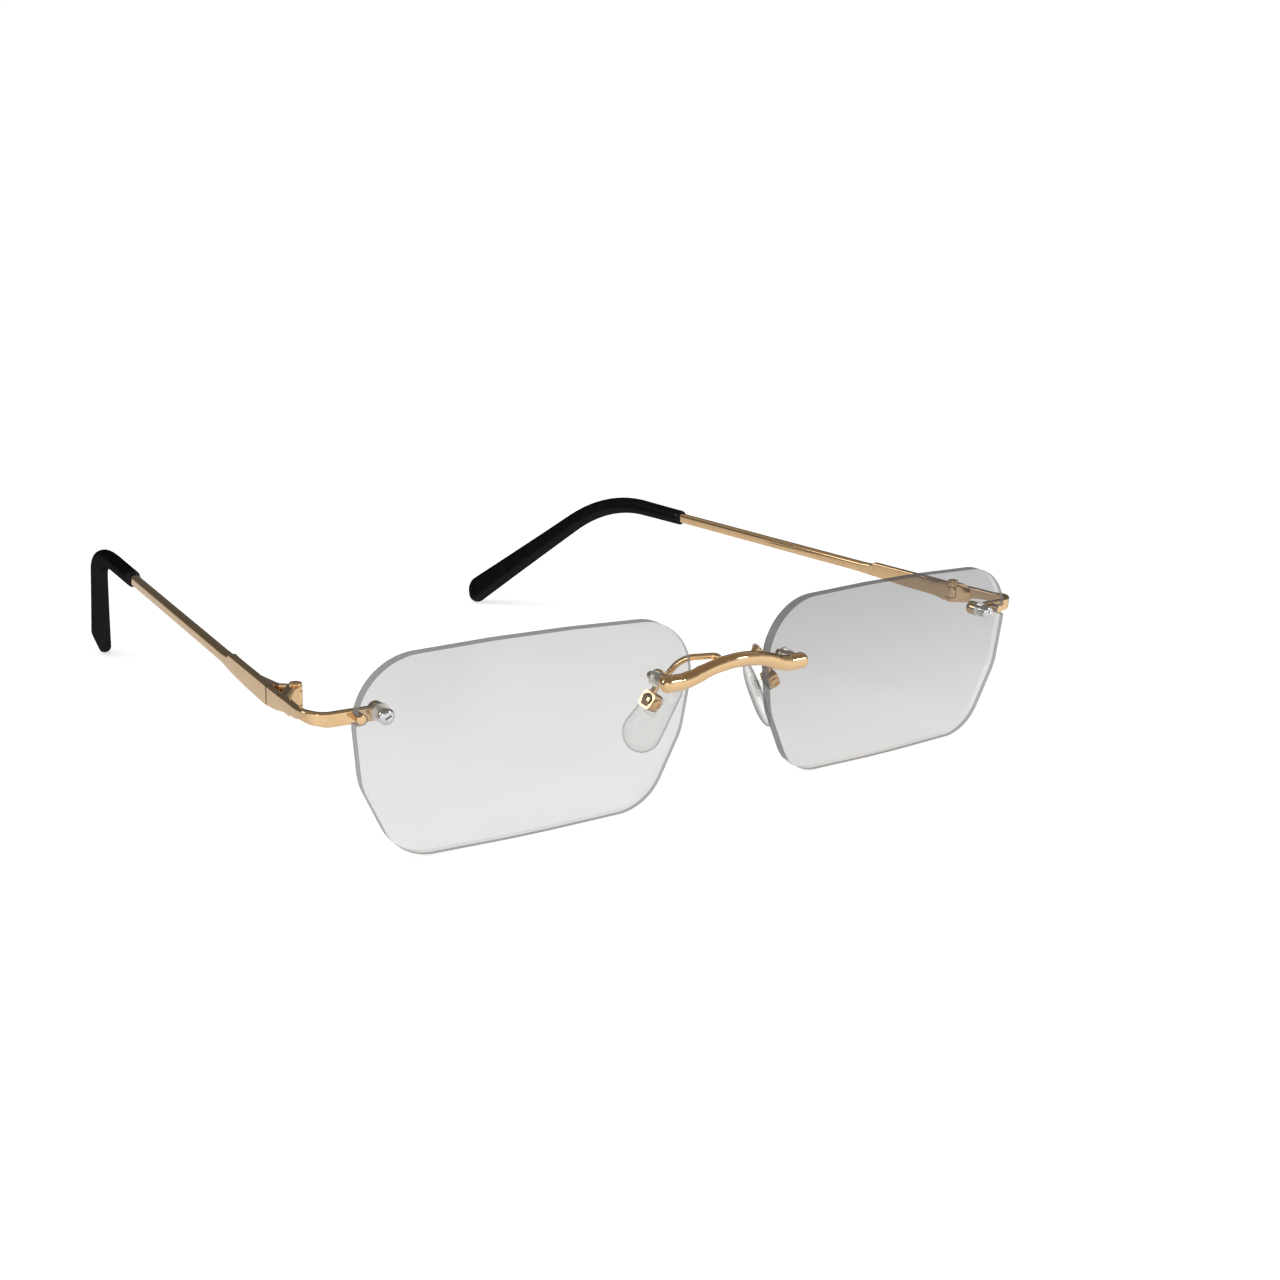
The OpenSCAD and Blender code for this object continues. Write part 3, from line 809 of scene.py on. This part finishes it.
def make_lens_screws():
    """Slotted domed screws in front of the lenses, whose gold shafts reach the end pieces."""
    slot = brick(SCREW_SLOT, (0, 0, 0.85))
    head = lathe(dome_profile(SCREW_HEAD_R, 0.72, 0.0, SCREW_HEAD_H))
    head = bench(head, bevel(0.03, 1), cutters=[slot])
    shaft = rod(STUD_R, -SCREW_LEN, 0.1)
    shaft.polygons.foreach_set("material_index", [1] * len(shaft.polygons))
    screw = moved(joined(head, shaft), turn("Z", SCREW_TURN))
    screw = moved(screw, LENS_AXES @ shift(TEMPORAL_U, 0, TEMPORAL_V) @ TOWARDS_FRONT)
    add_piece("visual_lens_screws", pair_of(screw), MIDDLE_AXES, "front",
              [STEEL, GOLD], ["lens_screws"])


# ---------------------------------------------------------------- nose pads

def teardrop():
    """Outline of a nose pad, wide at its foot."""
    low, high = PAD_W / 2, PAD_W * 0.36
    return hull_outline([(0, -PAD_LEN / 2 + low, low), (0, PAD_LEN / 2 - high, high)], 72)


def pillow(outline, thick, rings=10):
    """A soft lens-shaped cushion over an outline in X and Z, crowned on both faces along Y."""
    n = len(outline)
    points, faces = [], []
    shares = [math.sin(math.pi / 2 * k / rings) for k in range(rings + 1)]
    for sign, part in ((-1, 0.42), (1, 0.58)):
        for share in shares:
            y = sign * thick * part * (1 - share ** 3.2) ** 0.55
            points += [(x * share, y, z * share) for x, z in outline]
    layer = (rings + 1) * n
    for half in range(2):
        for k in range(rings):
            for i in range(n):
                a, b = half * layer + k * n + i, half * layer + k * n + (i + 1) % n
                faces.append([a, b, b + n, a + n] if half else [a, a + n, b + n, b])
    mesh = mesh_of(points, faces)
    return bench(mesh, ("WELD", {"merge_threshold": 0.001}))


def make_pad(side_name, side):
    """A pad, and the carrier, bent piece and tab inside it that hang on the pad screw."""
    body = side_name + "_pad"
    pad = facing_out(moved(pillow(teardrop(), PAD_T), shift(PAD_SIDE, PAD_OFF, -PAD_LOW)))
    add_piece("visual_nose_pad_" + side_name, pad, PAD_AXES, body,
              [SILICONE], ["nose_pad_" + side_name], side, sharp=80)
    carrier = bench(brick(CARRIER_SIZE, (0, PAD_OFF - 0.05, -0.5)), bevel(0.22, 3))
    bend = bench(brick(BEND_SIZE, (-0.3, 2.25, 0)), bevel(0.1, 2))
    hub = moved(rod(HUB_R, -HUB_HALF, HUB_HALF, 40), ALONG_X)
    tab = bench(brick(TAB_SIZE, (0, 1.06, 0)), bevel(0.1, 2))
    to_pad = PAD_AXES.inverted() @ BOX_AXES
    insert = joined(carrier, bend, moved(joined(hub, tab), to_pad))
    add_piece("visual_pad_insert_" + side_name, insert, PAD_AXES, body,
              [NYLON], ["pad_insert_" + side_name], side)


def make_pad_mount(side_name, side):
    """A pad box, open to the back and dished in front, and the wire arm that holds it."""
    w, d, h = BOX_SIZE
    cup = bench(slab(rounded_ring(w / 2, h / 2, BOX_R, 10), [], -d / 2, d / 2), bevel(0.3, 5))
    cup = moved(cup, TOWARDS_FRONT)
    pocket = brick((w - 2 * BOX_WALL, d, h - 2 * BOX_WALL), (0, BOX_FLOOR, 0))
    dish = moved(lathe(dish_profile(1.0, 0.17, -d / 2), 40), ALONG_Y)
    box = bench(cup, cutters=[bench(pocket, bevel(0.2, 3)), dish])
    arm = round_wire(smooth_path(ARM_POINTS), lambda i: ARM_R)
    add_piece("visual_pad_box_" + side_name, box, BOX_AXES, "front",
              [GOLD], ["pad_box_" + side_name], side)
    add_piece("visual_pad_arm_" + side_name, arm, MIDDLE_AXES, "front",
              [GOLD], ["pad_arm_" + side_name], side)


def make_pad_screws():
    """Screws through the pad boxes, with a socket head on the nose side."""
    half = BOX_SIZE[0] / 2
    head = lathe(dome_profile(PAD_SCREW_HEAD_R, 0.3, half - 0.05, half + PAD_SCREW_HEAD_H), 40)
    head = bench(head, bevel(0.05, 2), cutters=[rod(0.4, half + 0.15, 3)])
    shaft = rod(PAD_SCREW_R, -half, half + 0.05, 24)
    screw = moved(joined(head, shaft), BOX_AXES @ turn("Y", -math.pi / 2))
    add_piece("visual_pad_screws", pair_of(screw), MIDDLE_AXES, "front",
              [GOLD], ["pad_screws"])


# ---------------------------------------------------------------- end pieces and hinges

def end_piece_path():
    """Plan points of the bar, the corner and the leg, with the way ahead at each."""
    bar = Vector((math.cos(WRAP), math.sin(WRAP)))
    back = Vector((-math.sin(WRAP), math.cos(WRAP)))
    leg = Vector((-math.sin(TOE), math.cos(TOE)))
    out = Vector((math.cos(TOE), math.sin(TOE)))
    origin = Vector((LENS_X, 0))
    hinge = Vector((HINGE.x, HINGE.y))
    line = LENS_BACK + END_BAR_T / 2
    plate_mid = (PLATE_IN + PLATE_OUT) / 2
    reach_back = origin.dot(back) + line + CORNER_R
    reach_out = hinge.dot(out) + plate_mid - CORNER_R
    det = back.x * out.y - back.y * out.x
    corner = Vector(((reach_back * out.y - reach_out * back.y) / det,
                     (back.x * reach_out - out.x * reach_back) / det))
    path = []
    start = origin + bar * (TEMPORAL_U + 0.6) + back * line
    turn_in = corner - back * CORNER_R
    for k in range(10):
        path.append((start.lerp(turn_in, k / 10), bar))
    sweep_angle = math.pi / 2 + TOE - WRAP
    for k in range(17):
        a = WRAP - math.pi / 2 + sweep_angle * k / 16
        spoke = Vector((math.cos(a), math.sin(a)))
        path.append((corner + spoke * CORNER_R, Vector((-spoke.y, spoke.x))))
    turn_out = corner + out * CORNER_R
    end = hinge + out * plate_mid + leg * (SEAM_Y - 0.1)
    for k in range(1, 15):
        path.append((turn_out.lerp(end, k / 14), leg))
    return path


def make_end_piece(side_name, side):
    """The bent bar behind a lens, with an eye for the lens screw and a peg in the notch."""
    v = TEMPORAL_V
    seam_y = HINGE.y + SEAM_Y
    low = [(0, v - 1.23), (3.4, v - 1.18), (4.2, v - 0.93), (6, v - 0.63), (9, 6.3),
           (seam_y, HINGE.z - 1.52)]
    high = [(0, v + 0.87), (3.4, v + 0.87), (5, v + 0.92), (9, 8.0), (seam_y, HINGE.z + 1.40)]
    stations = []
    for (x, y), ahead in end_piece_path():
        z0, z1 = blended(low, y), blended(high, y)
        across = Vector((ahead.y, -ahead.x, 0))
        ring = rounded_ring(END_BAR_T / 2, (z1 - z0) / 2, END_BAR_EDGE)
        stations.append((Vector((x, y, (z0 + z1) / 2)), across, UPWARD, ring))
    eye = lathe(tube_profile(STUD_R + 0.02, EYE_R, LENS_BACK, LENS_BACK + EYE_LEN, 0.25))
    eye = moved(eye, LENS_AXES @ shift(TEMPORAL_U, 0, v) @ ALONG_Y)
    peg = lathe(dome_profile(PEG_R, 0.3, -(LENS_BACK + 0.5), 0.0), 32)
    # The peg's shaft, down in the notch, takes the darker gold: painted shade.
    for face in peg.polygons:
        face.material_index = 1 if face.center.z < -0.35 else 0
    peg = moved(peg, LENS_AXES @ shift(PEG_U, 0, v) @ TOWARDS_FRONT)
    name = "end_piece_" + side_name
    add_piece("visual_" + name, joined(sweep(stations), eye, peg), MIDDLE_AXES, "front",
              [GOLD, SHADED_GOLD], [name], side)


def knuckle(z0, height):
    """A barrel of a hinge, bored for the pin."""
    return lathe(tube_profile(BORE_R, KNUCKLE_R, z0, z0 + height, 0.12))


def wedge(plan, profile, seen_along_x):
    """Solid with a given plan and a given side view, which is seen along X or along Y."""
    body = facing_out(slab(plan, [], -3, 5))
    upright = turn("Z", math.pi / 2) @ TOWARDS_FRONT if seen_along_x else TOWARDS_FRONT
    return bench(body, keep_within=facing_out(moved(slab(profile, [], -4, 4), upright)))


def make_hinges(side_name, side):
    """Both halves of a hinge: outer knuckles on the front, and a middle one on the temple."""
    reach = MID_KNUCKLE_H / 2 + GAP
    low = KNUCKLE_MID - reach - END_KNUCKLE_H
    high = KNUCKLE_MID + reach + END_KNUCKLE_H
    r = KNUCKLE_R
    drill = rod(0.7, -9, 9)
    slot = rod(r + 0.1, KNUCKLE_MID - reach, KNUCKLE_MID + reach, 48)
    plan = [(0.1, r - 0.02), (-0.4, -r + 0.08), (PLATE_IN + 0.3, -2.8), (PLATE_IN + 0.3, 0.85)]
    profile = [(-2, low), (3, low), (3, 1.2), (1.8, 1.4), (0.9, high - 0.1), (-2, high)]
    web = bench(wedge(plan, profile, False), bevel(0.12, 3))
    web = bench(web, cutters=[drill, slot])
    outer = joined(knuckle(KNUCKLE_MID + reach, END_KNUCKLE_H), knuckle(low, END_KNUCKLE_H), web)
    add_piece("visual_front_hinge_" + side_name, outer, HINGE_AXES, "front",
              [GOLD], ["front_hinge_" + side_name], side)
    low = KNUCKLE_MID - MID_KNUCKLE_H / 2
    high = low + MID_KNUCKLE_H
    plan = [(-0.7, 0.2), (0.7, 0), (0.5, 1.0), (PLATE_IN - 0.15, 2.4),
            (PLATE_IN - 0.1, SEAM_Y + 0.2), (PLATE_IN + 0.3, SEAM_Y + 0.2),
            (PLATE_IN + 0.3, SEAM_Y + 7), (PLATE_IN + 0.1, SEAM_Y + 7),
            (0.9, SEAM_Y + 1.4), (0.2, 2.8), (-0.5, 1.4)]
    profile = [(-1, low), (1.25, low), (1.26, -1.3), (SEAM_Y + 8, -1.3), (SEAM_Y + 8, 1.2),
               (SEAM_Y + 0.5, 1.42), (1.26, high + 0.55), (1.25, high), (-1, high)]
    tongue = bench(wedge(plan, profile, True), bevel(0.12, 3))
    tongue = bench(tongue, cutters=[drill])
    middle = joined(knuckle(low, MID_KNUCKLE_H), tongue)
    add_piece("visual_temple_hinge_" + side_name, middle, HINGE_AXES, side_name + "_temple",
              [GOLD], ["temple_hinge_" + side_name], side)


def make_hinge_screws():
    """The hinge pins, with a slotted head above the upper knuckle."""
    top = MID_KNUCKLE_H / 2 + GAP + END_KNUCKLE_H
    head = lathe(dome_profile(0.9, 0.18, top, top + 0.4), 40)
    head = bench(head, cutters=[brick((2, 0.24, 0.3), (0, 0, top + 0.4))])
    shaft = rod(PIN_R, -top, top + 0.05, 24)
    screw = moved(joined(head, shaft), HINGE_AXES @ shift(0, 0, KNUCKLE_MID))
    add_piece("visual_hinge_screws", pair_of(screw), MIDDLE_AXES, "front",
              [GOLD], ["hinge_screws"])


# ---------------------------------------------------------------- temples and tips

def make_temple(side_name, side):
    """A flat plate at the hinge, a step in its upper edge, and a thin bar back to the tip."""
    start = SEAM_Y + 0.1
    end = SEAM_Y + BAR_LEN + 0.9
    half_plate, half_bar, bar_in = PLATE_H / 2, BAR_H / 2, PLATE_OUT - BAR_W
    low = [(start, -half_plate + 0.02), (start + 6, -half_plate + 0.07), (THIN_Y, -half_bar),
           (end, -half_bar)]
    high = [(start, half_plate - 0.12), (STEP_Y, half_plate - 0.17),
            (STEP_Y + STEP_LEN, half_bar), (end, half_bar)]
    inner = [(start, PLATE_IN), (STEP_Y - 2, PLATE_IN), (STEP_Y + 3, bar_in), (end, bar_in)]
    rounding = [(start, 0.25), (STEP_Y - 1, 0.25), (STEP_Y + 4, 0.6), (end, 0.6)]
    spots = [start + (STEP_Y - start) * k / 16 for k in range(16)]
    spots += [STEP_Y + STEP_LEN * k / 6 for k in range(7)]
    after_step = STEP_Y + STEP_LEN
    spots += [after_step + (THIN_Y - after_step) * k / 8 for k in range(1, 9)]
    spots += [THIN_Y + (end - THIN_Y) * k / 24 for k in range(1, 25)]
    stations = []
    for y in spots:
        z0, z1, x0 = blended(low, y), blended(high, y), blended(inner, y)
        ring = rounded_ring((PLATE_OUT - x0) / 2, (z1 - z0) / 2, blended(rounding, y))
        centre = Vector(((PLATE_OUT + x0) / 2, y, (z0 + z1) / 2))
        stations.append((centre, Vector((1, 0, 0)), UPWARD, ring))
    name = "temple_" + side_name
    add_piece("visual_" + name, sweep(stations), HINGE_AXES, side_name + "_temple",
              [GOLD], [name], side)


def tip_point(s):
    """Y and Z of the tip's centre at s from its mouth, and the angle it has turned down by."""
    if s < TIP_STRAIGHT:
        return s, 0.0, 0.0
    angle = min((s - TIP_STRAIGHT) / TIP_BEND_R, TIP_BEND)
    y = TIP_STRAIGHT + TIP_BEND_R * math.sin(angle)
    z = -TIP_BEND_R * (1 - math.cos(angle))
    beyond = max(s - TIP_STRAIGHT - TIP_BEND_R * TIP_BEND, 0)
    return y + beyond * math.cos(TIP_BEND), z - beyond * math.sin(TIP_BEND), angle


def make_tip(side_name, side):
    """A tip that deepens towards its rounded end, with a slightly drawn-in mouth."""
    length = TIP_STRAIGHT + TIP_BEND_R * TIP_BEND + TIP_DROP
    stations = []

    def station(s, grow=1.0, ahead=0.0, thin=1.0):
        y, z, angle = tip_point(s)
        half = (TIP_START_R + (TIP_END_R - TIP_START_R) * (s / length) ** 1.6) * grow
        centre = Vector((0, y + ahead * math.cos(angle), z - ahead * math.sin(angle)))
        upward = Vector((0, math.sin(angle), math.cos(angle)))
        half_t = TIP_T / 2 * thin
        ring = rounded_ring(half_t, half, min(0.95 * half_t, 0.95 * half), 8)
        stations.append((centre, Vector((1, 0, 0)), upward, ring))

    mouth = 0.4
    station(0.0, 0.86, 0, 0.86)
    station(0.12, 0.96, 0, 0.96)
    station(mouth)
    for k in range(1, 61):
        station(mouth + (length - mouth) * k / 60)
    for a in range(10, 81, 10):
        turned = math.radians(a)
        station(length, math.cos(turned), TIP_END_R * math.sin(turned),
                max(math.cos(turned) ** 0.6, 0.2))
    station(length, 0.05, TIP_END_R, 0.15)
    bar_mid = PLATE_OUT - BAR_W / 2
    axes = HINGE_AXES @ shift(bar_mid, SEAM_Y + BAR_LEN, 0) @ turn("Y", TIP_ROLL)
    name = "temple_tip_" + side_name
    add_piece("visual_" + name, sweep(stations), axes, side_name + "_temple",
              [BLACK], [name], side, sharp=60)


def dress_small_nodes():
    """Bushes and washers keep their CAD shape and are silvery, standing in for clear ones."""
    for name in ("lens_bushes", "bridge_washers", "end_piece_washers"):
        mesh = frame["nodes"][name].data
        mesh.materials.clear()
        mesh.materials.append(SLEEVE)


# ---------------------------------------------------------------- studio

def make_camera():
    back = Vector((math.sin(CAMERA_AZIMUTH) * math.cos(CAMERA_ELEVATION),
                   -math.cos(CAMERA_AZIMUTH) * math.cos(CAMERA_ELEVATION),
                   math.sin(CAMERA_ELEVATION)))
    right = Vector((math.cos(CAMERA_AZIMUTH), math.sin(CAMERA_AZIMUTH), 0))
    up = back.cross(right)
    rolled = right * math.cos(CAMERA_ROLL) + up * math.sin(CAMERA_ROLL)
    rolled_up = up * math.cos(CAMERA_ROLL) - right * math.sin(CAMERA_ROLL)
    data = bpy.data.cameras.new("camera")
    data.sensor_width = 36
    data.lens = FOCAL_LENGTH
    data.shift_x, data.shift_y = CAMERA_SHIFT
    data.clip_start = 0.01
    camera = bpy.data.objects.new("camera", data)
    turned = Matrix((rolled, rolled_up, back)).transposed().to_4x4()
    camera.matrix_world = shift(*CAMERA_AT) @ turned
    bpy.context.scene.collection.objects.link(camera)
    bpy.context.scene.camera = camera


def plain_white():
    """Matt white with a glow of its own, faintly uneven."""
    material, nodes, links, output = node_tree("studio_floor")
    shader = nodes.new("ShaderNodeBsdfPrincipled")
    cloud = noise(nodes, links, 3, 2)
    low, high = (FLOOR_BASE * 0.99,) * 3, (FLOOR_BASE,) * 3
    links.new(two_tone(nodes, links, cloud, low, high), shader.inputs["Base Color"])
    shader.inputs["Roughness"].default_value = 1.0
    shader.inputs["Specular IOR Level"].default_value = 0.0
    shader.inputs["Emission Color"].default_value = (1, 1, 1, 1)
    shader.inputs["Emission Strength"].default_value = FLOOR_GLOW
    links.new(shader.outputs["BSDF"], output.inputs["Surface"])
    return material


def make_floor():
    """A wide floor; polished metal mirrors the soft surroundings instead of it."""
    half = FLOOR_HALF
    corners = [(-half, -half, 0), (half, -half, 0), (half, half, 0), (-half, half, 0)]
    mesh = mesh_of(corners, [[0, 1, 2, 3]])
    mesh.materials.append(plain_white())
    obj = bpy.data.objects.new("studio_floor", mesh)
    bpy.context.scene.collection.objects.link(obj)
    obj.visible_glossy = False


def softbox(name, place, size, power):
    """A rectangular lamp that looks at the glasses; power is in watts."""
    data = bpy.data.lights.new(name, "AREA")
    data.shape = "RECTANGLE"
    data.size, data.size_y = size
    data.energy = power
    light = bpy.data.objects.new(name, data)
    light.location = place
    light.rotation_euler = (Vector(LIT_SPOT) - Vector(place)).to_track_quat("-Z", "Y").to_euler()
    bpy.context.scene.collection.objects.link(light)


def glow_ramp(nodes, links, height, steps):
    """Grey by height, from (height, grey) steps."""
    ramp = nodes.new("ShaderNodeValToRGB")
    marks = ramp.color_ramp.elements
    for k, (z, grey) in enumerate(steps):
        spot = z / 2 + 0.5
        if k < 2:
            marks[k].position = spot
            marks[k].color = (grey, grey, grey, 1)
        else:
            marks.new(spot).color = (grey, grey, grey, 1)
    links.new(height, ramp.inputs["Fac"])
    return ramp.outputs["Color"]


def make_world():
    """Bright below and in front, dim behind and overhead, so that polished metal has contrast.

    The background itself is seen as plain white.
    """
    world = bpy.data.worlds.new("studio")
    bpy.context.scene.world = world
    world.use_nodes = True
    nodes, links = world.node_tree.nodes, world.node_tree.links
    nodes.clear()
    output = nodes.new("ShaderNodeOutputWorld")
    background = nodes.new("ShaderNodeBackground")
    where = nodes.new("ShaderNodeTexCoord")
    split = nodes.new("ShaderNodeSeparateXYZ")
    links.new(where.outputs["Generated"], split.inputs["Vector"])
    up = split.outputs["Z"]
    height = spread(nodes, links, up, 0, 1, -1, 1)
    front = spread(nodes, links, split.outputs["Y"], 1, 0, -0.35, 0.25)
    overhead = spread(nodes, links, up, 0, 1, 0.60, 0.75)
    glow = colour_mix(nodes, links, front, glow_ramp(nodes, links, height, BACK_GLOW),
                      glow_ramp(nodes, links, height, FRONT_GLOW))
    glow = colour_mix(nodes, links, overhead, glow, WARM_OVERHEAD, "MULTIPLY")
    seen = nodes.new("ShaderNodeLightPath").outputs["Is Camera Ray"]
    glow = colour_mix(nodes, links, seen, glow, SEEN_WHITE)
    links.new(glow, background.inputs["Color"])
    links.new(background.outputs["Background"], output.inputs["Surface"])


def make_sun():
    """A wide soft sun; it throws the shadows and is left out of reflections."""
    data = bpy.data.lights.new("soft_sun", "SUN")
    data.energy = SUN_POWER
    data.angle = SUN_SPREAD
    sun = bpy.data.objects.new("soft_sun", data)
    sun.rotation_euler = Vector(SUN_WAY).to_track_quat("-Z", "Y").to_euler()
    bpy.context.scene.collection.objects.link(sun)
    sun.visible_glossy = False


def make_studio():
    make_camera()
    make_floor()
    make_world()
    make_sun()
    softbox("front", (0.9, -1.1, 0.75), (0.22, 0.22), 2.4)
    softbox("side", (-1.2, 0.72, 0.7), (0.55, 0.45), 3.0)
    softbox("left", (-1.0, -0.9, 0.5), (0.16, 0.16), 0.8)
    bpy.context.scene.view_settings.view_transform = "Standard"


make_studio()
for side_name, side in SIDES.items():
    make_lens(side_name, side)
    make_pad(side_name, side)
    make_pad_mount(side_name, side)
    make_end_piece(side_name, side)
    make_hinges(side_name, side)
    make_temple(side_name, side)
    make_tip(side_name, side)
make_bridge()
make_nuts()
make_lens_screws()
make_pad_screws()
make_hinge_screws()
dress_small_nodes()
